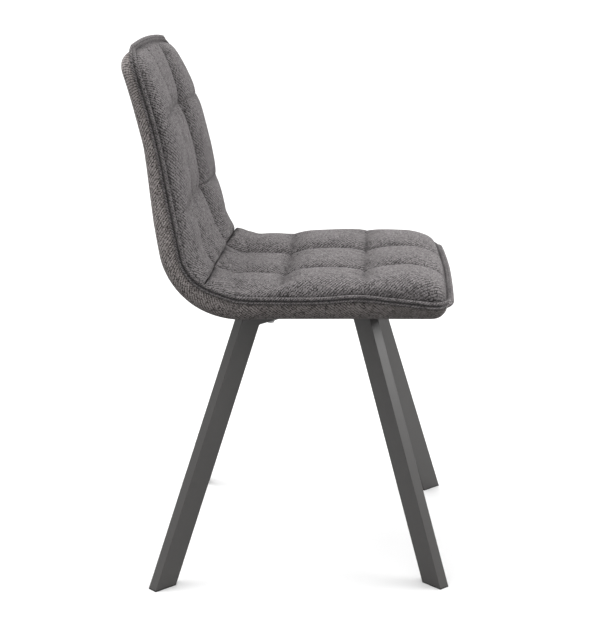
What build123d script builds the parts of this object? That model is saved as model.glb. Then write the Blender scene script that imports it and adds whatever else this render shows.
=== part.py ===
"""Dining chair: a quilted one-piece seat and back on four splayed legs of rectangular tube.

Millimetres, +Z up. The chair faces -Y and +X is the sitter's left. The origin is on the
floor, under the middle of the chair's overall box.
"""

from build123d import *
from math import cos, radians, sin, sqrt, tan
import os

os.makedirs("parts", exist_ok=True)

# ---- overall sizes ----
overall_width = 450  # across the side welts
overall_depth = 530  # front of the standing welt to the rear of the back
overall_height = 877  # floor to the top of the standing welt
back_top_width = 392  # across the covers where the top corners start
seat_height = 503  # floor to the cushion above the origin
welt_height = 476  # floor to the seam line round the seat
underside_height = 440  # floor to the padded edge's underside

# ---- angles, degrees ----
recline = 12.9  # back from vertical
cushion_tilt = 3.0  # the cushion rises to the front
frame_tilt = 4.0  # so do the plywood and the arms that carry it
leg_plan = 45  # each leg and its arm stand in a plane on this diagonal
front_splay = 21.6  # front legs from vertical
rear_splay = 24.5  # rear legs from vertical

# ---- upholstery ----
cover = 1.5  # fabric with its backing
quilt = 4  # quilted fabric with its wadding
back_behind = 28  # seam line to the rear of the back
back_before = 30  # seam line to the front of the back cushion
crown_drop = 26  # the rear of the back starts to lean forward this far below its top
crown_lip = 8  # what is left behind the seam line at the very top
bend_radius = 98  # seam line where the back turns into the seat
rear_tighter = 26  # the rear bends this much tighter than parallel to the seam line
top_arch = 9  # rise of the back's top edge from its corners to its middle
top_corner = 45
front_bulge = 6
front_corner = 38
waist_height = 560  # the back is as wide as the seat up to here
welt_band = 11  # width of the folded strip that lies flat along the sides
welt_thick = 3
welt_below = 5  # how much of the band lies outside the seam line
welt_stand = 9  # the same strip stands up along the front and the top
welt_stand_thick = 4
welt_end = 0.6  # share of a corner's radius that a standing strip leaves out

# ---- plywood shell ----
ply = 9
ply_inset = 13  # from the outside of the covers
ply_behind = 8  # seam line to the front of the plywood in the back
ply_tighter = 3  # the plywood's bend is this much tighter than the seam's
ply_crown = 4  # padding between the plywood and the cover at the crown

# ---- underside ----
window_front_rim = 75  # covers' front edge to the opening under the seat
window_clear = 12  # arms to the opening's sides and rear
window_corner = 20
window_lead = 4  # the cut starts this far below the padded edge
hem = 12  # width of fabric stapled to the plywood
dust_sheet = 1
dust_gap = 1
staple_crown = 10
staple_wire = 1
staple_leg = 6
staples_across = 6
staples_along = 5

# ---- leg frame ----
tube_deep = 38
tube_wide = 19
tube_wall = 1.5
inner_bend = 5
outer_bend = 30
arm_underside = 414.3  # above the origin, at the arms' lower edge
front_foot_setback = 16.5  # front of the covers to the middle of a front foot
rear_foot_behind = 56  # corner of seat and back to the middle of a rear foot
front_foot_spread = 458
rear_foot_spread = 514
glide_sole = 2
glide_plug = 16
glide_fit = 0.2
plate_length = 110
plate_width = 96
plate_thick = 3
plate_corner = 8
plate_lift = 0.6  # weld gap above the arms

# ---- fasteners ----
spacer = 4
spacer_diameter = 22
bolt_from_bend = 46  # from the middle of the bend to the bolt, along the arm
bolt_diameter = 6
bolt_hole = 7
bolt_length = 50
bolt_head = 11
bolt_head_height = 3.3
bolt_socket = 4
bolt_socket_depth = 2
washer_diameter = 16
washer_thick = 1.6
tee_flange = 19
tee_flange_thick = 1.2
tee_barrel = 8
tee_depth = 7
tee_recess = 1.9

# ---- derived places ----
lean = tan(radians(recline))
lean_cos = cos(radians(recline))
front_edge = welt_stand - overall_depth / 2
cover_half = overall_width / 2 - welt_thick
cover_top = overall_height - welt_stand
crown_height = cover_top - crown_drop
seam_corner_y = (
    overall_depth / 2 - back_behind / lean_cos - (crown_height - welt_height) * lean
)
arm_rise = tan(radians(frame_tilt)) * cos(radians(leg_plan))
arm_top = arm_underside + tube_deep * sqrt(1 + arm_rise**2)
ply_underside = arm_top + spacer + dust_sheet
far = 2 * overall_height  # reaches past everything
through = 4 * tube_deep  # reaches through the arms and the seat


def back_y(forward, z):
    """Y of the line parallel to the back, `forward` of the seam line, at height z."""
    return seam_corner_y + (z - welt_height) * lean - forward / lean_cos


class Skin:
    """One bent surface of the seat and back: a flat back, a round bend and a flat seat."""

    def __init__(self, forward, height, tilt, radius):
        self.forward = forward
        self.height = height
        self.tilt = tilt
        self.radius = radius
        slope = tan(radians(tilt))
        bend_y = (back_y(forward, 0) + height * lean) / (1 + slope * lean)
        self.bend = (bend_y, self.seat_z(bend_y))

    def seat_z(self, y):
        return self.height - y * tan(radians(self.tilt))

    def moved(self, by):
        """The same surface, `by` nearer to the sitter."""
        return Skin(self.forward + by, self.height + by, self.tilt, self.radius - by)

    def points(self):
        """Top of the back, bend and front of the seat, past the finished edges."""
        high = cover_top + bend_radius
        ahead = front_edge - bend_radius
        return [(back_y(self.forward, high), high), self.bend, (ahead, self.seat_z(ahead))]


seam = Skin(0, welt_height, 0, bend_radius)
rear = Skin(-back_behind, underside_height, 0, bend_radius + back_behind - rear_tighter)
cushion = Skin(back_before, seat_height, cushion_tilt, bend_radius - back_before)
ply_face = Skin(-ply_behind, ply_underside + ply, frame_tilt, bend_radius - ply_tighter)
ply_rear = ply_face.moved(-ply)


def padded(front, behind, inset):
    """The solid between two skins, inside the chair's outline made smaller by inset."""
    half = cover_half - inset
    top_half = back_top_width / 2 - inset
    top = cover_top - inset
    fore = front_edge + inset
    with BuildPart() as body:
        with BuildSketch(Plane.YZ):
            with BuildLine():
                Polyline(*front.points(), *reversed(behind.points()), close=True)
            make_face()
            for skin in (front, behind):
                fillet(vertices().sort_by_distance(skin.bend)[0], skin.radius)
        extrude(amount=half, both=True)
        with BuildSketch(Plane.XZ):
            with BuildLine():
                Polyline(
                    (-top_half, top - top_arch),
                    (-half, waist_height),
                    (-half, 0),
                    (half, 0),
                    (half, waist_height),
                    (top_half, top - top_arch),
                )
                ThreePointArc((top_half, top - top_arch), (0, top), (-top_half, top - top_arch))
            make_face()
            fillet(vertices().group_by(Axis.Y)[-1], top_corner - inset)
        extrude(amount=far, both=True, mode=Mode.INTERSECT)
        with BuildSketch(Plane.XY):
            with BuildLine():
                Polyline(
                    (half, fore + front_bulge),
                    (half, overall_depth),
                    (-half, overall_depth),
                    (-half, fore + front_bulge),
                )
                ThreePointArc((-half, fore + front_bulge), (0, fore), (half, fore + front_bulge))
            make_face()
            fillet(vertices().group_by(Axis.Y)[0], front_corner - inset)
        extrude(amount=far, both=True, mode=Mode.INTERSECT)
    return body.part


def sloped(height, y=0):
    """Plane of the tilted plywood and arms, at this height above the origin."""
    turn = radians(frame_tilt)
    slope = tan(turn)
    return Plane(
        origin=(0, y, height - y * slope), x_dir=(1, 0, 0), z_dir=(0, sin(turn), cos(turn))
    )


crown = Plane(
    origin=(0, back_y(-crown_lip, cover_top), cover_top),
    x_dir=(1, 0, 0),
    z_dir=(
        0,
        crown_drop,
        (back_behind - crown_lip) / lean_cos - crown_drop * lean,
    ),
)
half_turn = radians(45 - recline / 2)
crease = Plane(
    origin=(0, *seam.bend), x_dir=(1, 0, 0), z_dir=(0, -cos(half_turn), -sin(half_turn))
)


# ---- leg frame: four bent tubes in diagonal upright planes ----


class Leg:
    """Places of one leg and its arm; ahead is -1 for a front leg, side is -1 on the right."""

    def __init__(self, name, side, ahead):
        self.name = name
        self.ahead = ahead
        splay = front_splay if ahead < 0 else rear_splay
        spread = front_foot_spread if ahead < 0 else rear_foot_spread
        front_y = front_edge + front_foot_setback
        foot_y = front_y if ahead < 0 else seam_corner_y + rear_foot_behind
        foot_x = side * spread / 2
        inward = (-side * sin(radians(leg_plan)), -ahead * cos(radians(leg_plan)))
        self.inward = inward
        self.foot = (foot_x, foot_y)
        self.plane = Plane(
            origin=(foot_x, foot_y, 0),
            x_dir=(*inward, 0),
            z_dir=(inward[1], -inward[0], 0),
        )
        self.lean = tan(radians(splay))
        self.stretch = 1 / cos(radians(splay))
        self.rise = -inward[1] * tan(radians(frame_tilt))
        self.arm_stretch = sqrt(1 + self.rise**2)
        self.under = arm_underside - foot_y * tan(radians(frame_tilt))
        middle = self.under + tube_deep / 2 * self.arm_stretch
        self.bend = middle * self.lean / (1 - self.lean * self.rise)

    def meet(self, across, up):
        """Where a leg line, `across` from its middle, crosses an arm line, `up` from below."""
        height = self.under + up * self.arm_stretch
        s = (across * self.stretch + height * self.lean) / (1 - self.lean * self.rise)
        return (s, height + s * self.rise)

    def outline(self, inset):
        """Side view of the bent tube, from under the floor to past the chair's middle."""
        low = -tube_deep
        end = arm_underside
        half = tube_deep / 2 - inset
        floor_at = low * self.lean
        arm_low = self.under + inset * self.arm_stretch + end * self.rise
        arm_high = self.under + (tube_deep - inset) * self.arm_stretch + end * self.rise
        return [
            (floor_at - half * self.stretch, low),
            self.meet(-half, tube_deep - inset),
            (end, arm_high),
            (end, arm_low),
            self.meet(half, inset),
            (floor_at + half * self.stretch, low),
        ]

    def body(self, inset):
        with BuildPart() as bar:
            with BuildSketch(self.plane):
                with BuildLine():
                    Polyline(*self.outline(inset), close=True)
                make_face()
                outer = self.meet(inset - tube_deep / 2, tube_deep - inset)
                inner = self.meet(tube_deep / 2 - inset, inset)
                fillet(vertices().sort_by_distance(outer)[0], outer_bend - inset)
                fillet(vertices().sort_by_distance(inner)[0], inner_bend + inset)
            extrude(amount=tube_wide / 2 - inset, both=True)
        return bar.part

    def reach(self, height):
        """Distance of the leg's outermost corner from the chair's middle, in X and in Y."""
        s = height * self.lean - tube_deep / 2 * self.stretch
        return [
            abs(self.foot[i]) - s * abs(self.inward[i]) + tube_wide / 2 * abs(self.inward[1 - i])
            for i in (0, 1)
        ]

    def bolt_plane(self):
        """On the arm's lower face at the bolt, looking up square to the arm."""
        s = self.bend + bolt_from_bend
        x = self.foot[0] + s * self.inward[0]
        y = self.foot[1] + s * self.inward[1]
        z = self.under + s * self.rise
        return Plane(
            origin=(x, y, z),
            x_dir=(self.inward[1], -self.inward[0], 0),
            z_dir=(-self.rise * self.inward[0], -self.rise * self.inward[1], 1),
        )


legs = [
    Leg("front_left", 1, -1),
    Leg("front_right", -1, -1),
    Leg("rear_left", 1, 1),
    Leg("rear_right", -1, 1),
]
# The two arms of a side are mitred to each other halfway between where each
# would reach the chair's middle plane.
mitre_y = sum(
    leg.foot[1] + abs(leg.foot[0] / leg.inward[0]) * leg.inward[1] for leg in legs
) / len(legs)
mitre = Plane(origin=(0, mitre_y, 0), x_dir=(1, 0, 0), z_dir=(0, 1, 0))

for leg in legs:
    with BuildPart() as tube:
        add(leg.body(0))
        add(leg.body(tube_wall), mode=Mode.SUBTRACT)
        with Locations(leg.bolt_plane()):
            Cylinder(bolt_hole / 2, through, mode=Mode.SUBTRACT)
        split(bisect_by=Plane.XY.offset(glide_sole), keep=Keep.TOP)
        split(bisect_by=mitre, keep=Keep.BOTTOM if leg.ahead < 0 else Keep.TOP)
    tube.part.label = f"leg_{leg.name}"
    export_step(tube.part, f"parts/leg_{leg.name}.step")

for leg in legs:
    with BuildPart() as sole:
        add(leg.body(0))
        split(bisect_by=Plane.XY, keep=Keep.TOP)
        split(bisect_by=Plane.XY.offset(glide_sole), keep=Keep.BOTTOM)
    with BuildPart() as glide:
        add(leg.body(tube_wall + glide_fit))
        split(bisect_by=Plane.XY.offset(glide_sole), keep=Keep.TOP)
        split(bisect_by=Plane.XY.offset(glide_sole + glide_plug), keep=Keep.BOTTOM)
        add(sole.part)
    glide.part.label = f"foot_glide_{leg.name}"
    export_step(glide.part, f"parts/foot_glide_{leg.name}.step")

with BuildPart() as centre_plate:
    with BuildSketch(sloped(arm_top + plate_lift, mitre_y)):
        RectangleRounded(plate_width, plate_length, plate_corner)
    extrude(amount=plate_thick)
centre_plate.part.label = "centre_plate"
export_step(centre_plate.part, "parts/centre_plate.step")

# ---- fasteners between the arms and the plywood ----

with BuildPart() as spacers:
    for leg in legs:
        with BuildSketch(leg.bolt_plane().offset(tube_deep)):
            Circle(spacer_diameter / 2)
            Circle(bolt_hole / 2, mode=Mode.SUBTRACT)
        extrude(amount=through)
    split(bisect_by=sloped(ply_underside - dust_sheet), keep=Keep.BOTTOM)
spacers.part.label = "seat_spacers"
export_step(spacers.part, "parts/seat_spacers.step")

with BuildPart() as washers:
    for leg in legs:
        with BuildSketch(leg.bolt_plane()):
            Circle(washer_diameter / 2)
            Circle(bolt_hole / 2, mode=Mode.SUBTRACT)
        extrude(amount=-washer_thick)
washers.part.label = "bolt_washers"
export_step(washers.part, "parts/bolt_washers.step")

with BuildPart() as bolts:
    for leg in legs:
        head = leg.bolt_plane().offset(-washer_thick)
        with BuildSketch(head):
            Circle(bolt_head / 2)
        extrude(amount=-bolt_head_height)
        with BuildSketch(head):
            Circle(bolt_diameter / 2)
        extrude(amount=bolt_length)
        with BuildSketch(head.offset(-bolt_head_height)):
            RegularPolygon(bolt_socket / 2, 6, major_radius=False)
        extrude(amount=bolt_socket_depth, mode=Mode.SUBTRACT)
bolts.part.label = "seat_bolts"
export_step(bolts.part, "parts/seat_bolts.step")

tee_height = tube_deep + spacer + dust_sheet + ply - tee_recess
with BuildPart() as tee_nuts:
    for leg in legs:
        top = leg.bolt_plane().offset(tee_height)
        with BuildSketch(top):
            Circle(tee_flange / 2)
            Circle(bolt_diameter / 2, mode=Mode.SUBTRACT)
        extrude(amount=tee_flange_thick)
        with BuildSketch(top):
            Circle(tee_barrel / 2)
            Circle(bolt_diameter / 2, mode=Mode.SUBTRACT)
        extrude(amount=-tee_depth)
tee_nuts.part.label = "tee_nuts"
export_step(tee_nuts.part, "parts/tee_nuts.step")

# ---- staples that hold the cover's hem to the plywood ----

window_half = max(leg.reach(underside_height)[0] for leg in legs) + window_clear
window_rear = legs[-1].reach(underside_height)[1] + window_clear
window_front = front_edge + window_front_rim
window_width = 2 * window_half
window_depth = window_rear - window_front
window_middle_y = (window_front + window_rear) / 2
hem_plane = sloped(ply_underside - cover, window_middle_y)
hem_run = window_depth / cos(radians(frame_tilt))
with BuildPart() as staples:
    side_spots = GridLocations(window_width - hem, hem_run / staples_along, 2, staples_along)
    end_spots = GridLocations(window_width / staples_across, hem_run - hem, staples_across, 2)
    for spots, turn in ((side_spots, 90), (end_spots, 0)):
        with BuildSketch(hem_plane):
            with spots:
                Rectangle(staple_crown, staple_wire, rotation=turn)
        extrude(amount=-staple_wire)
        for shift in (-1, 1):
            step = shift * (staple_crown - staple_wire) / 2
            with BuildSketch(hem_plane):
                with spots:
                    with Locations((0, step) if turn else (step, 0)):
                        Rectangle(staple_wire, staple_wire)
            extrude(amount=staple_leg)
staples.part.label = "hem_staples"
export_step(staples.part, "parts/hem_staples.step")

# ---- plywood, foam and covers ----

with BuildPart() as plywood_shell:
    add(padded(ply_face, ply_rear, ply_inset))
    split(bisect_by=crown.offset(-cover - ply_crown), keep=Keep.BOTTOM)
    for leg in legs:
        with BuildSketch(leg.bolt_plane()):
            Circle(tee_barrel / 2)
        extrude(amount=through, mode=Mode.SUBTRACT)
        with BuildSketch(leg.bolt_plane().offset(tee_height)):
            Circle(tee_flange / 2)
        extrude(amount=through, mode=Mode.SUBTRACT)
    add(staples.part, mode=Mode.SUBTRACT)
plywood_shell.part.label = "plywood_shell"
export_step(plywood_shell.part, "parts/plywood_shell.step")


def window(inset):
    """The opening under the seat, from below the edge padding into the plywood."""
    with BuildPart() as hole:
        with BuildSketch(Plane.XY.offset(underside_height - window_lead)):
            with Locations((0, window_middle_y)):
                RectangleRounded(
                    window_width - 2 * inset,
                    window_depth - 2 * inset,
                    window_corner - inset,
                )
        extrude(amount=through)
    return hole.part


# The padding outside the plywood, under the seat's edge and behind the back.
for side, name in ((Keep.TOP, "seat_edge_foam"), (Keep.BOTTOM, "back_wrap_foam")):
    with BuildPart() as foam:
        add(padded(ply_face, rear.moved(cover), cover))
        add(padded(ply_face, ply_rear, ply_inset), mode=Mode.SUBTRACT)
        add(window(-cover), mode=Mode.SUBTRACT)
        split(bisect_by=crown.offset(-cover), keep=Keep.BOTTOM)
        split(bisect_by=crease, keep=side)
    foam.part.label = name
    export_step(foam.part, f"parts/{name}.step")

# The padding that is sat on and leaned on, and the quilted covers over it.
for side, piece in ((Keep.TOP, "seat"), (Keep.BOTTOM, "back")):
    with BuildPart() as pad:
        add(padded(cushion.moved(-quilt), ply_face, cover))
        split(bisect_by=crown.offset(-cover), keep=Keep.BOTTOM)
        split(bisect_by=crease, keep=side)
    pad.part.label = f"{piece}_foam"
    export_step(pad.part, f"parts/{piece}_foam.step")

    with BuildPart() as quilted:
        add(padded(cushion, seam, 0))
        add(padded(cushion.moved(-quilt), seam.moved(-welt_band), cover), mode=Mode.SUBTRACT)
        split(bisect_by=crease, keep=side)
    quilted.part.label = f"{piece}_quilted_cover"
    export_step(quilted.part, f"parts/{piece}_quilted_cover.step")

with BuildPart() as hem_ring:
    add(padded(ply_rear, ply_rear.moved(-cover), ply_inset))
    add(window(-cover), mode=Mode.INTERSECT)
    add(window(hem), mode=Mode.SUBTRACT)

with BuildPart() as window_lining:
    add(window(-cover))
    add(window(0), mode=Mode.SUBTRACT)
    add(padded(ply_rear, rear, cover), mode=Mode.INTERSECT)

with BuildPart() as filling:
    add(padded(seam.moved(welt_band), rear.moved(cover), cover))
    split(bisect_by=crown.offset(-cover), keep=Keep.BOTTOM)

with BuildPart() as outer_cover:
    add(padded(seam, rear, 0))
    split(bisect_by=crown, keep=Keep.BOTTOM)
    add(filling.part, mode=Mode.SUBTRACT)
    add(window(0), mode=Mode.SUBTRACT)
    add(window_lining.part)
    add(hem_ring.part)
    add(staples.part, mode=Mode.SUBTRACT)
outer_cover.part.label = "outer_cover"
export_step(outer_cover.part, "parts/outer_cover.step")

with BuildPart() as dust_cover:
    add(padded(ply_rear, ply_rear.moved(-dust_sheet), ply_inset))
    add(window(hem + dust_gap), mode=Mode.INTERSECT)
    for leg in legs:
        with BuildSketch(leg.bolt_plane()):
            Circle(tee_barrel / 2)
        extrude(amount=through, mode=Mode.SUBTRACT)
dust_cover.part.label = "dust_cover"
export_step(dust_cover.part, "parts/dust_cover.step")

# ---- welt: a folded strip sewn into the seam all round ----


def central_block(half_span, low, high):
    """Everything nearer than half_span to the chair's middle plane, between two heights."""
    with BuildPart() as block:
        with Locations((0, 0, (low + high) / 2)):
            Box(2 * half_span, far, high - low)
    return block.part


def strip(proud, below, above):
    """The welt all round: how far it stands out and its two edges from the seam line."""
    with BuildPart() as loop:
        add(padded(seam.moved(above), seam.moved(-below), -proud))
        add(padded(seam.moved(2 * welt_band), seam.moved(-2 * welt_band), 0), mode=Mode.SUBTRACT)
    return loop.part


front_end = central_block(cover_half - welt_end * front_corner, 0, waist_height)
top_end = central_block(back_top_width / 2 - welt_end * top_corner, waist_height, far)

for block, name in ((front_end, "welt_front"), (top_end, "welt_top")):
    with BuildPart() as standing:
        add(strip(welt_stand, welt_stand_thick / 2, welt_stand_thick / 2))
        add(block, mode=Mode.INTERSECT)
    standing.part.label = name
    export_step(standing.part, f"parts/{name}.step")

for side, name in ((Keep.TOP, "welt_left"), (Keep.BOTTOM, "welt_right")):
    with BuildPart() as flat:
        add(strip(welt_thick, welt_below, welt_band - welt_below))
        add(front_end, mode=Mode.SUBTRACT)
        add(top_end, mode=Mode.SUBTRACT)
        split(bisect_by=Plane.YZ, keep=side)
    flat.part.label = name
    export_step(flat.part, f"parts/{name}.step")
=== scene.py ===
"""Dining chair: a quilted one-piece seat and back in flecked grey cloth on a dark steel frame."""

import math

import bpy
import numpy as np
from mathutils import Matrix, Vector


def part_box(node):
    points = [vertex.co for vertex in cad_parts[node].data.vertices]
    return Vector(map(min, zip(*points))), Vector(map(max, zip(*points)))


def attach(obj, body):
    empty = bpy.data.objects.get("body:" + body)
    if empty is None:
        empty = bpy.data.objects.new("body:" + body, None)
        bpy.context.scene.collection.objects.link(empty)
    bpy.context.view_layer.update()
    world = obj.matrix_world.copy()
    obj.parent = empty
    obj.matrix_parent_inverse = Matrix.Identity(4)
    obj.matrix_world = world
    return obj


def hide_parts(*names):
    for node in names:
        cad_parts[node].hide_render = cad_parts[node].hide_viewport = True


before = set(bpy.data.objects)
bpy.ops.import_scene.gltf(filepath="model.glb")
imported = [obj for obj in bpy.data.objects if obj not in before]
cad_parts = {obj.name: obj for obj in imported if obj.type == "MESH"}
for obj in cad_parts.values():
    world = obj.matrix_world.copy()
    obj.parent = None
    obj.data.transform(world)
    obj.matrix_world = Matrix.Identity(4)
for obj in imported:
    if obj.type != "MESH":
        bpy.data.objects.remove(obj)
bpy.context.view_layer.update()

# ---- Camera ----
# A long lens far off the chair's right side, at the height of its top and looking down a
# little, so that the chair shows side on with a narrow view of the seat's top.


def put_in_scene(name, data):
    """Makes an object of a mesh, lamp or camera and puts it in the scene."""
    thing = bpy.data.objects.new(name, data)
    bpy.context.collection.objects.link(thing)
    return thing


camera_data = bpy.data.cameras.new("camera")
camera_data.sensor_width = 36
camera_data.lens = 86.93
camera_data.clip_end = 300
camera = put_in_scene("camera", camera_data)
camera_at = Vector((-2.5798, -0.1523, 1.0443))
looking = Vector((0.96808, 0.05472, -0.24460)).normalized()
nearly_up = Vector((0.24458, 0.00718, 0.96960))
rightward = looking.cross(nearly_up).normalized()
upward = rightward.cross(looking)
turned = Matrix((rightward, upward, -looking)).transposed().to_4x4()
camera.matrix_world = Matrix.Translation(camera_at) @ turned
bpy.context.scene.camera = camera

# ---- Studio ----
# A pale matt floor and white surroundings above it, which light the chair from all round and
# leave its underside dark, one very broad lamp high up behind the back, and a soft box in
# front of the chair.


class Wire:
    """A node's output. Python arithmetic on it adds the Math nodes."""

    def __init__(self, nodes, socket):
        self.nodes = nodes
        self.socket = socket

    def output(self, name):
        """Another output of the same node."""
        return Wire(self.nodes, self.socket.node.outputs[name])

    def math(self, operation, *operands):
        settings = {"operation": operation}
        return self.nodes.node("ShaderNodeMath", settings, dict(enumerate(operands)))

    def floor(self):
        return self.math("FLOOR", self)

    def fraction(self):
        return self.math("FRACT", self)

    def __add__(self, other):
        return self.math("ADD", self, other)

    def __sub__(self, other):
        return self.math("SUBTRACT", self, other)

    def __rsub__(self, other):
        return self.math("SUBTRACT", other, self)

    def __mul__(self, other):
        return self.math("MULTIPLY", self, other)

    def __truediv__(self, other):
        return self.math("DIVIDE", self, other)

    def __pow__(self, other):
        return self.math("POWER", self, other)

    def __lt__(self, other):
        return self.math("LESS_THAN", self, other)

    __radd__ = __add__
    __rmul__ = __mul__


class Nodes:
    """The nodes of a finish or of the surroundings."""

    def __init__(self, tree):
        self.tree = tree

    def feed(self, node, sockets):
        """Sets sockets to values or links wires to them, by name or by number."""
        for key, value in sockets.items():
            if isinstance(key, int):
                socket = node.inputs[key]
            else:
                socket = next(s for s in node.inputs if s.name == key and s.enabled)
            if isinstance(value, Wire):
                self.tree.links.new(value.socket, socket)
            else:
                socket.default_value = value

    def node(self, kind, settings=None, sockets=None, output=None):
        """Adds a node and gives its first output, or the one that is named."""
        made = self.tree.nodes.new(kind)
        for key, value in (settings or {}).items():
            setattr(made, key, value)
        self.feed(made, sockets or {})
        if output:
            return Wire(self, made.outputs[output])
        return Wire(self, next(s for s in made.outputs if s.enabled))


class Finish(Nodes):
    """A material of nodes. Its keywords set the sockets of its Principled shader."""

    def __init__(self, name, **sockets):
        self.material = bpy.data.materials.new(name)
        self.material.use_nodes = True
        super().__init__(self.material.node_tree)
        self.shader = self.tree.nodes["Principled BSDF"]
        self.feed(self.shader, {key.replace("_", " "): sockets[key] for key in sockets})

    def mix(self, factor, low, high):
        settings = {"data_type": "RGBA"}
        return self.node("ShaderNodeMix", settings, {"Factor": factor, "A": low, "B": high})

    def place(self):
        """Place on the piece in metres, the same from every side."""
        return self.node("ShaderNodeTexCoord", output="Object")

    def noise(self, at, scale, detail=2.0):
        sockets = {"Vector": at, "Scale": scale, "Detail": detail}
        return self.node("ShaderNodeTexNoise", {}, sockets)

    def bump(self, height, distance, strength, normal=None):
        sockets = {"Height": height, "Distance": distance, "Strength": strength}
        if normal:
            sockets["Normal"] = normal
        return self.node("ShaderNodeBump", {}, sockets)


def quad_mesh(name, points, faces):
    """A smooth object made of points and four-cornered faces."""
    mesh = bpy.data.meshes.new(name)
    mesh.from_pydata(points.reshape(-1, 3).tolist(), [], faces.reshape(-1, 4).tolist())
    mesh.shade_smooth()
    return put_in_scene(name, mesh)


floor_finish = Finish("pale_floor", Roughness=0.85)
floor_tone = floor_finish.noise(floor_finish.place(), 3)
floor_finish.feed(
    floor_finish.shader,
    {"Base Color": floor_finish.mix(floor_tone, (0.84, 0.84, 0.84, 1), (0.88, 0.88, 0.88, 1))},
)
floor_size, floor_drop = 90, 0.0003
floor_corners = np.array([(-1, -1, 0), (1, -1, 0), (1, 1, 0), (-1, 1, 0)]) * floor_size
floor = quad_mesh("floor", floor_corners - (0, 0, floor_drop), np.arange(4))
floor.data.materials.append(floor_finish.material)
floor.visible_diffuse = False  # no light from the floor reaches the chair's underside

surround = bpy.data.worlds.new("surround")
surround.use_nodes = True
sky = Nodes(surround.node_tree)
sky_way = sky.node("ShaderNodeTexCoord", output="Generated")
sky_height = sky.node("ShaderNodeSeparateXYZ", {}, {"Vector": sky_way}, "Z")
sky_strength = sky.node(
    "ShaderNodeMapRange",
    {},
    {"Value": sky_height, "From Min": -0.05, "From Max": -0.002, "To Min": 0.05, "To Max": 1.2},
)
sky.feed(sky.tree.nodes["Background"], {"Color": (1, 1, 1, 1), "Strength": sky_strength})
bpy.context.scene.world = surround
bpy.context.scene.view_settings.view_transform = "Standard"

lamp_data = bpy.data.lights.new("lamp_above", "SUN")
lamp_data.energy = 1.3
lamp_data.angle = math.radians(40)
lamp = put_in_scene("lamp_above", lamp_data)
lamp_way = Vector((-0.12, -0.36, -0.92))
lamp.rotation_euler = lamp_way.to_track_quat("-Z", "Y").to_euler()

soft_box_data = bpy.data.lights.new("soft_box", "AREA")
soft_box_data.shape = "RECTANGLE"
soft_box_data.size = 1.6
soft_box_data.size_y = 0.9
soft_box_data.energy = 26
soft_box = put_in_scene("soft_box", soft_box_data)
soft_box.location = Vector((0.1, -2.2, 1.35))
soft_box_way = Vector((0, 0, 0.7)) - soft_box.location
soft_box.rotation_euler = soft_box_way.to_track_quat("-Z", "Y").to_euler()
soft_box.visible_camera = False

# ---- Legs ----
# Four rectangular steel tubes bent at the knee, mitred and welded under the seat, then
# powder coated in matt anthracite. The coat is fine grained, over slightly rounded edges.

powder = Finish("powder_coat", Specular_IOR_Level=0.45)
powder_at = powder.place()
powder_grain = powder.noise(powder_at, 1400, 3)
powder_cloud = powder.noise(powder_at, 9, 3)
rounded = powder.node("ShaderNodeBevel", {"samples": 6}, {"Radius": 0.0013}, "Normal")
powder.feed(
    powder.shader,
    {
        "Base Color": powder.mix(
            powder_cloud * 0.7 + powder_grain * 0.3,
            (0.036, 0.034, 0.033, 1),
            (0.056, 0.053, 0.051, 1),
        ),
        "Roughness": 0.27 + powder_grain * 0.14,
        "Normal": powder.bump(powder_grain, 0.00012, 0.6, rounded),
    },
)


def finish_node(name, finish):
    """Gives a part that comes as drawn its material."""
    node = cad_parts[name]
    node.data.materials.clear()
    node.data.materials.append(finish.material)


corners = [f"{end}_{side}" for end in ("front", "rear") for side in ("left", "right")]
for corner in corners:
    finish_node(f"leg_{corner}", powder)
finish_node("centre_plate", powder)

# ---- Foot glides ----
# Black moulded plastic plugs pushed into the cut ends of the legs, each with a thin sole
# that stands on the floor.

moulded = Finish("moulded_plastic", Specular_IOR_Level=0.4)
moulded_grain = moulded.noise(moulded.place(), 900)
moulded.feed(
    moulded.shader,
    {
        "Base Color": moulded.mix(moulded_grain, (0.012, 0.012, 0.012, 1), (0.022, 0.022, 0.022, 1)),
        "Roughness": 0.5 + moulded_grain * 0.2,
        "Normal": moulded.bump(moulded_grain, 0.0001, 0.4),
    },
)
for corner in corners:
    finish_node(f"foot_glide_{corner}", moulded)

# ---- Bolts, washers, tee nuts and staples ----
# Zinc plated steel. The bolts pass up through the arms and spacers into tee nuts in the
# plywood, and the staples hold the cover's hem to its underside.

zinc = Finish("zinc_plate", Metallic=1.0)
zinc_at = zinc.place()
zinc_spangle = zinc.node("ShaderNodeTexVoronoi", {}, {"Vector": zinc_at, "Scale": 700}, "Distance")
zinc_dull = zinc.noise(zinc_at, 260)
# The plate's colours are darker than bright zinc: painted shade, for parts that sit in the shade under
# the seat.
zinc.feed(
    zinc.shader,
    {
        "Base Color": zinc.mix(zinc_dull, (0.20, 0.20, 0.21, 1), (0.30, 0.30, 0.29, 1)),
        "Roughness": 0.40 + zinc_spangle * 0.25,
        "Normal": zinc.bump(zinc_dull, 0.0001, 0.3),
    },
)
for name in ("seat_bolts", "bolt_washers", "tee_nuts", "hem_staples"):
    finish_node(name, zinc)

# ---- Seat spacers ----
# Black rubber rings between the arms and the plywood, one round each bolt, which keep the
# steel off the cover's hem.

rubber = Finish("spacer_rubber", Specular_IOR_Level=0.3)
rubber_bloom = rubber.noise(rubber.place(), 500)
rubber.feed(
    rubber.shader,
    {
        "Base Color": rubber.mix(rubber_bloom, (0.012, 0.012, 0.012, 1), (0.030, 0.030, 0.030, 1)),
        "Roughness": 0.7 + rubber_bloom * 0.2,
    },
)
finish_node("seat_spacers", rubber)

# ---- Plywood shell ----
# Beech veneers glued and pressed in one bend, from the top of the back to the seat's front.
# The foams and covers are fixed to it, and the arms are bolted under it.

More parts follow.
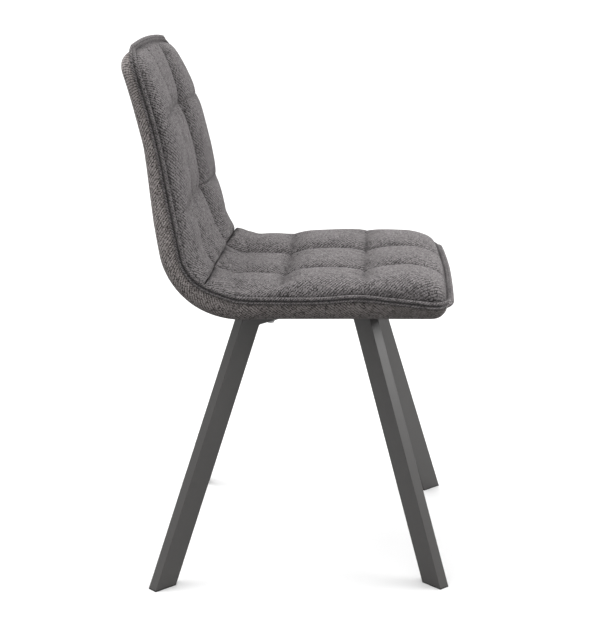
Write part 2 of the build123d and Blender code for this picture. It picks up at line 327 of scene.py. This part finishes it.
veneer = Finish("beech_veneer", Roughness=0.55)
veneer_at = veneer.place()
veneer_grain = veneer.node(
    "ShaderNodeTexWave",
    {"bands_direction": "X"},
    {"Vector": veneer_at, "Scale": 45, "Distortion": 6, "Detail": 3, "Detail Scale": 1.5},
)
veneer.feed(
    veneer.shader,
    {
        "Base Color": veneer.mix(veneer_grain, (0.50, 0.33, 0.18, 1), (0.66, 0.49, 0.31, 1)),
        "Normal": veneer.bump(veneer_grain, 0.0002, 0.3),
    },
)
finish_node("plywood_shell", veneer)

# ---- Outer cover ----
# The cloth that wraps the foam behind the back and under the seat's edge. It is sewn to the
# quilted covers round the whole outline and its hem is stapled inside the opening below.

# Side view of the seam line: level under the seat, round the bend and straight up the back.
recline = math.radians(12.9)
bend_radius = 0.098
bend_turn = math.pi / 2 - recline
seat_low, seat_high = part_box("seat_quilted_cover")
seat_half, front_y, seam_z = seat_high.x, seat_low.y, seat_low.z
cover_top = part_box("back_quilted_cover")[1].z
rear_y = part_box("outer_cover")[1].y
back_behind = 0.028  # seam line to the rear of the back
crown_z = cover_top - 0.026  # above this the rear of the back leans forward
corner_y = rear_y - back_behind / math.cos(recline) - (crown_z - seam_z) * math.tan(recline)

# Distances along that line from the seat's front.
seat_run = corner_y - bend_radius * math.tan(bend_turn / 2) - front_y
crease_s = seat_run + bend_radius * bend_turn / 2
back_s = seat_run + bend_radius * bend_turn
back_z = seam_z + bend_radius * (1 - math.cos(bend_turn))
seam_top_z, waist_z = cover_top - 0.001, 0.560
top_s = back_s + (seam_top_z - back_z) / math.cos(recline)
waist_s = back_s + (waist_z - back_z) / math.cos(recline)  # the back narrows from here up

# Outline seen from the front.
top_half = 0.197
top_arch = 0.009  # drop of the top edge from its middle to its corners
top_lean = 0.005  # more of that on the left, less on the right
top_corner = 0.040
front_bulge = 0.003
front_corner = 0.026
front_left_back = 0.008  # the front's left corner is sewn this much further back
front_left_up = 0.014  # and its edge is pulled up by this
column_seam = 0.075 / seat_half  # stitched lines between the columns of squares


def seam_frame(s):
    """Side view of the seam, s along it from the seat's front: its place and normal."""
    turn = np.clip((s - seat_run) / bend_radius, 0, bend_turn)
    y = front_y + np.minimum(s, seat_run) + bend_radius * np.sin(turn)
    z = seam_z + bend_radius * (1 - np.cos(turn))
    up_back = np.maximum(s - back_s, 0)
    return (
        y + up_back * math.sin(recline),
        z + up_back * math.cos(recline),
        -np.sin(turn),
        np.cos(turn),
    )


def half_width(s):
    """Half of the chair's width across the seams."""
    share = np.clip((s - waist_s) / (top_s - waist_s), 0, 1)
    return seat_half + (top_half - seat_half) * share


def from_side(s, across):
    """Distance in from the side seam."""
    return (1 - np.abs(across)) * half_width(s)


def corner_drop(across, half, radius):
    """How far a rounded corner has left the straight edge."""
    inside = np.clip(np.abs(across) * half - (half - radius), 0, radius)
    return radius - np.sqrt(radius**2 - inside**2)


def front_end(across):
    """Where the outline starts at the seat's front."""
    left_back = front_left_back * np.clip(across, 0, 1) ** 2
    return front_bulge * across**2 + left_back + corner_drop(across, seat_half, front_corner)


def top_end(across):
    """Where it ends at the top of the back."""
    arch = (top_arch * across**2 + top_lean * across) / math.cos(recline)
    return top_s - arch - corner_drop(across, top_half, top_corner)


def swell(s, place, width):
    """A smooth hump, 1 high."""
    return np.exp(-(((s - place) / width) ** 2))


def seam_wander(s):
    """The sewn edge isn't true: how far it lies towards the sitter."""
    return (
        0.005 * swell(s, 0.145, 0.045)
        - 0.008 * swell(s, 0.0, 0.065)
        + 0.004 * swell(s, 0.365, 0.03)
        - 0.002 * swell(s, 0.43, 0.03)
        + 0.006 * swell(s, 0.64, 0.10)
        - 0.003 * swell(s, top_s, 0.03)
    )


def skin_points(s, across, lift):
    """Points at lift above the seam's surface, across from -1 on the right to 1 on the left."""
    y, z, ny, nz = seam_frame(s)
    wander = seam_wander(s) * np.abs(across) ** 6
    wander = wander + front_left_up * swell(s, 0, 0.06) * np.clip(across, 0, 1) ** 3
    wander_depth = 0.02
    lift = lift + wander * swell(lift, 0, wander_depth)
    return np.stack([across * half_width(s), y + ny * lift, z + nz * lift], axis=-1)


def crowded(start, stop, cells, crowd, both=True):
    """Places from start to stop, closer together at start, or at both ends."""
    t = np.linspace(0, 1, cells + 1)
    eased = (1 - np.cos(math.pi * t)) / 2 if both else 1 - np.cos(math.pi * t / 2)
    return start + (stop - start) * ((1 - crowd) * t + crowd * eased)


def run_together(*runs):
    """Runs of places that each start where the one before ends."""
    return np.concatenate([runs[0]] + [run[1:] for run in runs[1:]])


def roll(distance, width, fullness):
    """Rounded edge: 0 on the edge and 1 from its width inwards."""
    share = np.clip(1 - distance / width, 0, 1)
    return (1 - share**fullness) ** (1 / fullness)


end_zone = 0.09


def squared_to_ends(s, across):
    """Rows near the front and top are bent to meet the rounded outline."""
    start = front_end(across)
    stop = top_end(across)
    fore = start + s * (end_zone - start) / end_zone
    high = stop - (top_s - s) * (end_zone - (top_s - stop)) / end_zone
    return np.where(s < end_zone, fore, np.where(s > top_s - end_zone, high, s))


def cloth_map(points, middle):
    """Distances over the cloth in metres from its middle column and first row."""
    over = np.linalg.norm(np.diff(points, axis=1), axis=2)
    over = np.concatenate([np.zeros((len(points), 1)), np.cumsum(over, axis=1)], axis=1)
    along = np.linalg.norm(np.diff(points[:, middle], axis=0), axis=1)
    along = np.concatenate([[0], np.cumsum(along)])
    return np.stack([over - over[:, middle : middle + 1], over * 0 + along[:, None]], axis=-1)


def numbered(points):
    """The numbers of a grid's points, row by row."""
    rows, cols = points.shape[:2]
    return np.arange(rows * cols).reshape(rows, cols)


def grid_faces(grid):
    """Faces between neighbours in a grid of point numbers."""
    return np.stack([grid[:-1, :-1], grid[:-1, 1:], grid[1:, 1:], grid[1:, :-1]], axis=-1)


def lay_cloth(piece, places):
    """Gives each corner of each face its place on the flat cloth, for the weave."""
    layer = piece.data.uv_layers.new(name="cloth")
    layer.data.foreach_set("uv", places.astype(np.float32).ravel())


def closed_pad(name, shown, hidden, towards_sitter, gap=None):
    """A mesh of two skins that share their border. gap marks the cells left open."""
    rows, cols = shown.shape[:2]
    index = numbered(shown)
    inner = index.copy()
    inner[1:-1, 1:-1] = rows * cols + np.arange((rows - 2) * (cols - 2)).reshape(rows - 2, cols - 2)
    gap = np.zeros((rows - 1, cols - 1), bool) if gap is None else gap
    points = np.concatenate([shown.reshape(-1, 3), hidden[1:-1, 1:-1].reshape(-1, 3)])
    flat = cloth_map(shown, cols // 2)
    flat = np.concatenate([flat.reshape(-1, 2), flat[1:-1, 1:-1].reshape(-1, 2)])

    def quads(grid, flipped):
        faces = grid_faces(grid)[~gap]
        return faces[:, ::-1] if flipped else faces

    faces = [quads(index, not towards_sitter), quads(inner, towards_sitter)]
    wall = []  # closes the pad round the gap
    for i, j in zip(*np.nonzero(gap)):
        for (a, b), (di, dj) in (
            (((i, j), (i, j + 1)), (-1, 0)),
            (((i + 1, j + 1), (i + 1, j)), (1, 0)),
            (((i + 1, j), (i, j)), (0, -1)),
            (((i, j + 1), (i + 1, j + 1)), (0, 1)),
        ):
            if not gap[i + di, j + dj]:
                wall.append((index[a], index[b], inner[b], inner[a]))
    if wall:
        wall = np.array(wall)
        faces.append(wall if towards_sitter else wall[:, ::-1])
    faces = np.concatenate(faces)
    used, faces = np.unique(faces, return_inverse=True)
    faces = faces.reshape(-1, 4)
    piece = quad_mesh(name, points[used], faces)
    lay_cloth(piece, flat[used][faces])
    return piece


def smoothed(piece):
    """Rounds the piece's faces with one subdivision."""
    subdivision = piece.modifiers.new("subdivision", "SUBSURF")
    subdivision.levels = subdivision.render_levels = 1


def woven(name, light, dark, yarn=0.0020):
    """Coarse twill of mottled light warp over dark weft, from the piece's cloth map, with painted shade
    along the yarns' edges and in the cloth's creases.
    """
    cloth = Finish(
        name,
        Sheen_Weight=0.22,
        Sheen_Roughness=0.35,
        Sheen_Tint=(0.85, 0.80, 0.80, 1),
        Specular_IOR_Level=0.15,
    )
    at = cloth.node("ShaderNodeUVMap", {"uv_map": "cloth"})
    jitter = cloth.node("ShaderNodeTexNoise", {}, {"Vector": at, "Scale": 90, "Detail": 1}, "Color")
    pushed = cloth.node(
        "ShaderNodeVectorMath",
        {"operation": "MULTIPLY_ADD"},
        {0: jitter, 1: (0.0007, 0.0007, 0), 2: at},
        "Vector",
    )
    split = cloth.node("ShaderNodeSeparateXYZ", {}, {"Vector": pushed})
    warp_at = split.output("X") / yarn
    weft_at = split.output("Y") / yarn
    warp_no, weft_no = warp_at.floor(), weft_at.floor()
    warp_in = warp_at.fraction() * 2 - 1
    weft_in = weft_at.fraction() * 2 - 1
    over = ((warp_no + weft_no) / 3).fraction() < 0.5  # two crossings in three
    warp_lobe = 1 - warp_in * warp_in
    weft_lobe = 1 - weft_in * weft_in
    height = over * warp_lobe + (1 - over) * weft_lobe * 0.85

    # Each yarn is lighter and darker along its length, and each crossing a little by itself.
    def yarn_tone(number, along, seed):
        spot = cloth.node("ShaderNodeCombineXYZ", {}, {"X": number * 7.31, "Y": along * 0.5, "Z": seed})
        return cloth.noise(spot, 1.0, 3)

    warp_tone = yarn_tone(warp_no, weft_at, 1.7)
    weft_tone = yarn_tone(weft_no, warp_at, 9.2)
    crossing = cloth.node("ShaderNodeCombineXYZ", {}, {"X": warp_no, "Y": weft_no})
    speck = cloth.node("ShaderNodeTexWhiteNoise", {}, {"Vector": crossing}, "Value")
    tone = over * warp_tone + (1 - over) * (weft_tone - 0.24) + speck * 0.24 - 0.12
    fleck_range = {"Value": tone, "From Min": 0.21, "From Max": 0.63}
    fleck = cloth.node("ShaderNodeMapRange", {}, fleck_range)
    cloud = cloth.noise(cloth.place(), 14, 3)
    body = cloth.mix(fleck, (*dark, 1), (*light, 1))
    # Painted shade in the base colour: each yarn darkens towards its edges, and the occlusion term
    # darkens the cloth in its stitched creases and seams and where the seat runs into the back.
    shade = 0.62 + 0.38 * (over * warp_lobe + (1 - over) * weft_lobe) ** 0.5
    painted_shade_ao = cloth.node("ShaderNodeAmbientOcclusion", {"samples": 8}, {"Distance": 0.075}, "AO")
    shade = shade * (0.9 + 0.2 * cloud) * (0.10 + 0.90 * painted_shade_ao**1.6)
    body_with_painted_shade = cloth.mix(shade, (0, 0, 0, 1), body)
    fuzz = cloth.noise(at, 2600, 2)
    cloth.feed(
        cloth.shader,
        {
            "Base Color": body_with_painted_shade,
            "Roughness": 0.86 + 0.12 * fuzz,
            "Normal": cloth.bump(height + fuzz * 0.35, 0.00055, 0.75),
        },
    )
    return cloth


outer_cloth = woven("outer_cloth", (0.48, 0.438, 0.426), (0.042, 0.037, 0.036))

side_roll, front_roll, top_roll = 0.034, 0.026, 0.020
end_rows = 0.06  # rows lie closer together this near the front and the top
side_places = run_together(
    1 - crowded(0, side_roll, 15, 1.0, False) / seat_half,
    np.linspace(1 - side_roll / seat_half, 0, 34),
)
shell_rows = run_together(
    crowded(0, end_rows, 14, 0.9, False),
    np.linspace(end_rows, seat_run, 60),
    np.linspace(seat_run, back_s, 30),
    np.linspace(back_s, top_s - end_rows, 50),
    top_s - crowded(0, end_rows, 14, 0.9, False)[::-1],
)
shell_across, shell_s = np.meshgrid(np.concatenate([-side_places, side_places[-2::-1]]), shell_rows)
shell_s = squared_to_ends(shell_s, shell_across)
# Depth of the padding behind the seam: most round the bend, least half way up the back.
depth_at = [0.0, 0.28, 0.39, 0.45, 0.50, 0.52, 0.56, 0.60, 0.635, 0.70, 0.73, 0.76]
depth_is = [
    0.036, 0.038, 0.0395, 0.0380, 0.0350, 0.0335, 0.029, 0.0245, 0.0215, 0.0225, 0.0238, 0.0258,
]
depth = np.interp(shell_s, depth_at, depth_is)
fullness = np.interp(shell_s, [0.28, 0.42], [1.55, 3.0])  # the back's sides are the squarer
shell_lift = -depth * roll(from_side(shell_s, shell_across), side_roll, fullness)
shell_lift *= roll(shell_s - front_end(shell_across), front_roll, 2.4)
shell_lift *= roll(top_end(shell_across) - shell_s, top_roll, 2.0)
shell_points = skin_points(shell_s, shell_across, shell_lift)

# The hem lies on the plywood round the opening, whose sheet rises to the front with it.
window_low, window_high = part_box("dust_cover")
window_rim = 0.013
sheet_slope = math.tan(math.radians(4.0))
hem_outer, hem_inner = 0.004, 0.014


def sheet_level(y):
    """Height of the sheet that closes the opening."""
    return window_low.z - (y - window_high.y) * sheet_slope


x, y = shell_points[..., 0], shell_points[..., 1]
inward = np.minimum(
    window_high.x + window_rim - np.abs(x),
    np.minimum(y - window_low.y, window_high.y - y) + window_rim,
)
inward[shell_s > crease_s] = -1
shell_points[..., 2] = np.where(inward > hem_outer, sheet_level(y) - 0.0005, shell_points[..., 2])
opened = inward > hem_inner
opened = opened[:-1, :-1] & opened[1:, :-1] & opened[:-1, 1:] & opened[1:, 1:]
shell_hidden = skin_points(shell_s, shell_across, -0.001 + 0 * shell_lift)
outer_cover = closed_pad("outer_cover_cloth", shell_points, shell_hidden, False, opened)
outer_cover.data.materials.append(outer_cloth.material)
smoothed(outer_cover)
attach(outer_cover, "root")
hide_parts("outer_cover", "seat_edge_foam", "back_wrap_foam")

# ---- Dust cover ----
# Black non-woven sheet stapled over the hem inside the opening under the seat, a little
# slack between its staples.

fleece = Finish("dust_fleece", Roughness=0.9, Specular_IOR_Level=0.2)
fleece_fibres = fleece.noise(fleece.place(), 700, 4)
fleece.feed(
    fleece.shader,
    {
        "Base Color": fleece.mix(fleece_fibres, (0.006, 0.006, 0.007, 1), (0.020, 0.020, 0.021, 1)),
        "Normal": fleece.bump(fleece_fibres, 0.0003, 0.6),
    },
)
sheet_rows = sheet_cols = 46
sheet_inset, sheet_slack, pucker_height = 0.001, 0.0015, 0.0006
sheet_x, sheet_y = np.meshgrid(
    np.linspace(-1, 1, sheet_cols) * (window_high.x - sheet_inset),
    np.linspace(window_low.y + sheet_inset, window_high.y - sheet_inset, sheet_rows),
)
across_share = 1 - (sheet_x / window_high.x) ** 2
along_share = 1 - (2 * (sheet_y - window_low.y) / (window_high.y - window_low.y) - 1) ** 2
from_staples = across_share * along_share
pucker = pucker_height * np.sin(sheet_x * 210) * np.sin(sheet_y * 190)
sheet_z = sheet_level(sheet_y) + 0.0002 - sheet_slack * from_staples**0.6 + pucker * from_staples
sheet_points = np.stack([sheet_x, sheet_y, sheet_z], axis=-1)
dust_sheet = quad_mesh("dust_sheet", sheet_points, grid_faces(numbered(sheet_points).T))
dust_sheet.data.materials.append(fleece.material)
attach(dust_sheet, "root")
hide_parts("dust_cover")

# ---- Seat cushion ----
# Wadded cloth over foam, stitched through in lines that part it into nine stuffed squares.
# Its edge is sewn into the seam, and its rear end is tucked down into the crease.

quilted_cloth = woven("quilted_cloth", (0.280, 0.262, 0.265), (0.022, 0.020, 0.020))
seat_seams = (0.1364, 0.2684)
square_round = 0.060  # the squares round down to the lines between columns over this width


def valley(distance):
    """Section of a stitched line: a sharp crease between rounded shoulders."""
    crease, shoulder = 0.003, 0.020
    distance = np.abs(distance)
    return 0.5 * np.exp(-distance / crease) + 0.5 * np.exp(-((distance / shoulder) ** 2))


def stitched_to(s, across):
    """The stitched rows stop short of the sides: 1 where they are stitched, 0 at the side."""
    plain, fading = 0.022, 0.030
    return np.clip((from_side(s, across) - plain) / fading, 0, 1)


def stuffed(s, across, crest, seams, held_down, dip):
    """Height of the stuffed squares: round across each column, pulled in at each stitched row.
    held_down is the share of the crest that is left along the lines between the columns."""
    from_seam = np.abs(np.abs(across) - column_seam) * half_width(s)
    rows = np.zeros_like(s)
    for seam in seams:
        rows = np.maximum(rows, valley(s - seam))
    rows = rows * stitched_to(s, across)
    return crest * (held_down + (1 - held_down) * roll(from_seam, square_round, 1.9)) - dip * rows


def pad_side(s, across):
    """The pad's side: nothing beside the welt, then round up to full height."""
    welt_room, side_round = 0.007, 0.053
    return roll(from_side(s, across) - welt_room, side_round, 2.6)


def pad_end(distance, width, fullness, lip):
    """The pad's end: a small lip at the seam, then a long round up to full height."""
    welt_room, lip_round = 0.003, 0.008
    distance = distance - welt_room
    return (1 - lip) * roll(distance, width, fullness) + lip * roll(distance, lip_round, 2.0)


def tucked(distance):
    """The pad's dip into the crease between seat and back."""
    return 0.82 + 0.18 * roll(distance, 0.014, 2.0)


def blown_up(piece, held, limit):
    """Cloth simulation: the stitched lines stay put while the cloth between them swells.
    No point moves further than its limit."""
    last_step = 20
    group = piece.vertex_groups.new(name="sewn")
    group.add(np.nonzero(held)[0].tolist(), 1.0, "REPLACE")
    cloth = piece.modifiers.new("cloth", "CLOTH")
    settings = cloth.settings
    settings.vertex_group_mass = "sewn"
    settings.quality = 6
    settings.mass = 0.3
    settings.tension_stiffness = settings.compression_stiffness = 12
    settings.shear_stiffness = 5
    settings.bending_stiffness = 0.8
    settings.shrink_min = -0.015
    settings.use_pressure = True
    settings.uniform_pressure_force = 4.0
    settings.effector_weights.gravity = 0
    cloth.collision_settings.use_collision = False
    cloth.collision_settings.use_self_collision = False
    scene = bpy.context.scene
    for step in range(1, last_step + 1):
        scene.frame_set(step)
    evaluated = piece.evaluated_get(bpy.context.evaluated_depsgraph_get())
    count = len(piece.data.vertices) * 3
    before, after = np.empty(count, np.float32), np.empty(count, np.float32)
    piece.data.vertices.foreach_get("co", before)
    evaluated.data.vertices.foreach_get("co", after)
    moved = (after - before).reshape(-1, 3)
    length = np.linalg.norm(moved, axis=1, keepdims=True)
    moved *= np.minimum(1, limit.reshape(-1, 1) / np.maximum(length, 1e-9))
    piece.modifiers.remove(cloth)
    piece.vertex_groups.remove(group)
    scene.frame_set(1)
    return before.reshape(-1, 3) + moved


def cushion(name, rows, lift_at, seams):
    """One quilted cushion on the given rows, with its height from lift_at."""
    shoulder = 1 - square_round / seat_half
    places = run_together(
        1 - crowded(0, square_round, 18, 1.0, False) / seat_half,
        crowded(column_seam, shoulder, 18, 0.85, False)[::-1],
        crowded(column_seam, 0, 16, 0.85, False),
    )
    across, s = np.meshgrid(np.concatenate([-places, places[-2::-1]]), rows)
    s = squared_to_ends(s, across)
    points = skin_points(s, across, lift_at(s, across))
    # The skin alone is simulated. Its border and its stitched lines are held.
    skin = quad_mesh(f"{name}_skin", points, grid_faces(numbered(points)))
    side_points = 5
    held = np.abs(np.abs(across) - column_seam) < 1e-6
    for seam in seams:
        held |= (np.abs(rows[:, None] - seam) < 1e-6) & (stitched_to(s, across) > 0.6)
    held[[0, -1]] = True
    held[:, :side_points] = held[:, -side_points:] = True
    ends = np.where(s < crease_s, s - front_end(across), top_end(across) - s)
    edge = np.minimum(from_side(s, across), np.abs(ends))
    most, still_edge, easing = 0.006, 0.004, 0.040
    limit = most * np.clip((edge - still_edge) / easing, 0, 1)
    points = blown_up(skin, held.ravel(), limit).reshape(points.shape)
    bpy.data.objects.remove(skin)
    hidden = skin_points(s, across, 0.0005 + 0 * s)
    piece = closed_pad(name, points, hidden, True)
    piece.data.materials.append(quilted_cloth.material)
    smoothed(piece)
    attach(piece, "root")
    return piece


def seat_lift(s, across):
    """Height of the seat's pad. It is fuller along the left column than along the others."""
    fore = pad_end(s - front_end(across), 0.060, 1.8, 0.18)
    along = [0.07, 0.15, 0.24, 0.29, 0.33, 0.40]
    right = np.interp(s, along, [0.037, 0.030, 0.0280, 0.0175, 0.0170, 0.012])
    left = np.interp(s, along, [0.037, 0.039, 0.0350, 0.0285, 0.0275, 0.027])
    crest = right + (left - right) * np.clip((across - 0.12) / 0.35, 0, 1)
    height = stuffed(s, across, crest, seat_seams, 0.38, 0.007)
    lift = pad_side(s, across) * fore * height * tucked(crease_s - s)
    return np.where(s >= crease_s - 1e-6, 0.0, lift)


seat_rows = run_together(
    crowded(0, end_zone, 18, 0.8, False),
    seat_seams[0] - crowded(0, seat_seams[0] - end_zone, 12, 0.85, False)[::-1],
    crowded(seat_seams[0], seat_seams[1], 30, 0.88),
    crowded(seat_seams[1], crease_s, 30, 0.88),
)
seat_cushion = cushion("seat_cushion", seat_rows, seat_lift, seat_seams)
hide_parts("seat_quilted_cover", "seat_foam")

# ---- Back cushion ----
# Made as the seat cushion is: nine stuffed squares in wadded cloth over foam, thinning to
# the seam along its top and sides.

back_seams = (0.5216, 0.6714)


def back_lift(s, across):
    """Height of the back's pad, which is fuller on its left half too."""
    high = pad_end(top_end(across) - s, 0.106, 1.35, 0.15)
    along = [0.39, 0.43, 0.47, 0.51, 0.54, 0.58, 0.62]
    right = np.interp(s, along, [0.012, 0.015, 0.0175, 0.021, 0.0235, 0.0265, 0.031])
    left = np.interp(s, [0.39, 0.43, 0.50, 0.58], [0.022, 0.0255, 0.0285, 0.033])
    crest = right + (left - right) * np.clip((across + 0.15) / 0.30, 0, 1)
    hollow = np.exp(-((across / 0.36) ** 6)) * np.clip((s - 0.42) / 0.1, 0, 1)
    crest = crest * (1 - 0.42 * hollow)  # the middle column is the flatter one
    height = stuffed(s, across, crest, back_seams, 0.25, 0.0045)
    lift = pad_side(s, across) * high * height * tucked(s - crease_s)
    return np.where(s <= crease_s + 1e-6, 0.0, lift)


back_rows = run_together(
    crowded(crease_s, back_seams[0], 30, 0.88),
    crowded(back_seams[0], back_seams[1], 30, 0.88),
    crowded(back_seams[1], top_s - end_zone, 9, 0.8, False),
    top_s - crowded(0, end_zone, 18, 0.8, False)[::-1],
)
back_cushion = cushion("back_cushion", back_rows, back_lift, back_seams)
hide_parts("back_quilted_cover", "back_foam")

# ---- Welt ----
# A folded strip of the same cloth, sewn into the seam all round and stitched again beside
# it. It stands up along the seat's front and the back's top and lies flat on the sides.

welt_cloth = woven("welt_cloth", (0.280, 0.262, 0.265), (0.022, 0.020, 0.020), 0.0016)


def up_side(side):
    """Places along one side of the outline, from the seat's front to the back's top."""
    low = np.linspace(front_end(side), waist_s, 170)
    return run_together(low, np.linspace(waist_s, top_end(side), 90))


def over_end(half, radius, bend_points, straight_points):
    """Places across an end from right to left, closer together round its corners."""
    quarter = np.linspace(0, math.pi / 2, bend_points)
    bend = 1 - (radius / half) * (1 - np.cos(quarter))
    straight = np.linspace(-(1 - radius / half), 1 - radius / half, straight_points)
    return run_together(-bend, straight, bend[::-1])


right_side, left_side = up_side(-1.0), up_side(1.0)
front_across = over_end(seat_half, front_corner, 18, 120)
top_across = over_end(top_half, top_corner, 24, 100)[::-1]
loop_across = np.concatenate(
    [front_across, np.ones(len(left_side) - 2), top_across, -np.ones(len(right_side) - 2)]
)
loop_s = np.concatenate(
    [front_end(front_across), left_side[1:-1], top_end(top_across), right_side[-2:0:-1]]
)
loop = skin_points(loop_s, loop_across, 0 * loop_s)
forward = np.roll(loop, -1, axis=0) - np.roll(loop, 1, axis=0)
forward /= np.linalg.norm(forward, axis=1, keepdims=True)
_, _, normal_y, normal_z = seam_frame(loop_s)
normal = np.stack([0 * normal_y, normal_y, normal_z], axis=1)
outward = np.cross(forward, normal)
outward /= np.linalg.norm(outward, axis=1, keepdims=True)
normal = np.cross(outward, forward)


def turning_flat(half, turn):
    """0 along a straight end and 1 at the side, over the last turn metres between them."""
    return np.clip((np.abs(loop_across) * half - (half - turn)) / turn, 0, 1)


front_stretch, front_turn = 0.06, 0.030
top_stretch, top_turn = 0.09, 0.040
lies_flat = np.select(
    [loop_s < front_stretch, loop_s > top_s - top_stretch],
    [turning_flat(seat_half, front_turn), turning_flat(top_half, top_turn)],
    1.0,
)
for _ in range(6):  # softened along the strip
    lies_flat = (np.roll(lies_flat, 1) + 2 * lies_flat + np.roll(lies_flat, -1)) / 4
fold = (lies_flat * math.pi / 2)[:, None]
strip_width, strip_thick = 0.0120, 0.0046
lying, standing = np.sin(fold), np.cos(fold)
reach_dir = standing * outward - lying * normal
face_dir = lying * outward + standing * normal
lying_up, lying_out, standing_in = 0.006, 0.0012, 0.0022
root = loop + normal * (lying_up * lying) + outward * (lying_out * lying - standing_in * standing)

# Sections of the strip, in shares of its width and thickness, from the root round its edge.
flat_profile = [
    (0.00, 0.10), (0.08, 0.40), (0.24, 0.52), (0.40, 0.46), (0.50, 0.12), (0.54, -0.06), (0.59, -0.06),
    (0.63, 0.12), (0.70, 0.42), (0.82, 0.50), (0.94, 0.38), (1.00, 0.0), (0.92, -0.42), (0.60, -0.5),
    (0.20, -0.5), (0.00, -0.25),
]
standing_profile = [
    (0.00, 0.10), (0.06, 0.20), (0.14, 0.30), (0.22, 0.42), (0.32, 0.50), (0.42, 0.53), (0.52, 0.54),
    (0.62, 0.53), (0.72, 0.51), (0.84, 0.44), (0.95, 0.28), (1.00, 0.0), (0.94, -0.36), (0.60, -0.5),
    (0.20, -0.5), (0.00, -0.25),
]
flatness = lies_flat[:, None, None]
profiles = flatness * np.array(flat_profile) + (1 - flatness) * np.array(standing_profile)
rings = (
    root[:, None]
    + reach_dir[:, None] * profiles[..., :1] * strip_width
    + face_dir[:, None] * profiles[..., 1:] * strip_thick
)
ring_count, ring_size = rings.shape[:2]
ring_index = numbered(rings)
next_ring = np.roll(ring_index, -1, axis=0)
welt_faces = np.stack(
    [ring_index, np.roll(ring_index, -1, axis=1), np.roll(next_ring, -1, axis=1), next_ring], axis=-1
)
welt = quad_mesh("welt", rings, welt_faces)

# The weave runs along the strip and round its section.
steps = np.linalg.norm(np.roll(loop, -1, axis=0) - loop, axis=1)
run_at = np.concatenate([[0], np.cumsum(steps)])
round_steps = np.diff(np.array(flat_profile) * (strip_width, strip_thick), axis=0)
round_at = np.cumsum(np.linalg.norm(round_steps, axis=1))
round_at = np.concatenate([[0], round_at, [round_at[-1] + 0.001]])
corner_run = np.stack([run_at[:-1], run_at[:-1], run_at[1:], run_at[1:]], axis=1)
corner_round = np.stack([round_at[:-1], round_at[1:], round_at[1:], round_at[:-1]], axis=1)
welt_map = np.stack(
    [
        np.broadcast_to(corner_run[:, None], (ring_count, ring_size, 4)),
        np.broadcast_to(corner_round[None], (ring_count, ring_size, 4)),
    ],
    axis=-1,
)
lay_cloth(welt, welt_map)
welt.data.materials.append(welt_cloth.material)
smoothed(welt)
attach(welt, "root")
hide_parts("welt_front", "welt_top", "welt_left", "welt_right")

# ---- Welt stitching ----
# Dark twisted thread in straight stitches, sewn through both layers of the strip. Along the
# sides it lies in the strip's groove.

thread = Finish("dark_thread", Specular_IOR_Level=0.3)
thread_twist = thread.noise(thread.place(), 1800)
thread.feed(
    thread.shader,
    {
        "Base Color": thread.mix(thread_twist, (0.030, 0.028, 0.028, 1), (0.085, 0.080, 0.080, 1)),
        "Roughness": 0.6 + thread_twist * 0.3,
    },
)
stitch_pitch, stitch_long, stitch_wide, stitch_high = 0.005, 0.0038, 0.0010, 0.0008
stitch_at = np.arange(stitch_pitch / 2, run_at[-1], stitch_pitch)
before_it = np.searchsorted(run_at, stitch_at, side="right") - 1
after_it = (before_it + 1) % ring_count
past = ((stitch_at - run_at[before_it]) / steps[before_it])[:, None]


def at_stitches(values):
    """What is known at each ring, read off where each stitch is."""
    return values[before_it] * (1 - past) + values[after_it] * past


groove_reach, groove_flat, groove_standing = 0.565, -0.06, 0.53  # in shares, as the profiles
sunk = lies_flat[:, None] * groove_flat + (1 - lies_flat[:, None]) * groove_standing
groove = root + reach_dir * groove_reach * strip_width + face_dir * (sunk * strip_thick + 0.0002)
stitch_mid = at_stitches(groove)
stitch_along = at_stitches(forward) * stitch_long / 2
stitch_across = at_stitches(reach_dir) * stitch_wide / 2
stitch_up = at_stitches(face_dir) * stitch_high / 2
stitch_corners = np.stack(
    [
        stitch_mid + stitch_along * a + stitch_across * b + stitch_up * c
        for a in (-1, 1)
        for b in (-1, 1)
        for c in (-1, 1)
    ],
    axis=1,
)
box_faces = [(0, 1, 3, 2), (4, 6, 7, 5), (0, 4, 5, 1), (2, 3, 7, 6), (0, 2, 6, 4), (1, 5, 7, 3)]
stitch_faces = (np.arange(len(stitch_at)) * 8)[:, None, None] + np.array(box_faces)
stitching = quad_mesh("welt_stitching", stitch_corners, stitch_faces)
stitching.data.materials.append(thread.material)
smoothed(stitching)
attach(stitching, "root")
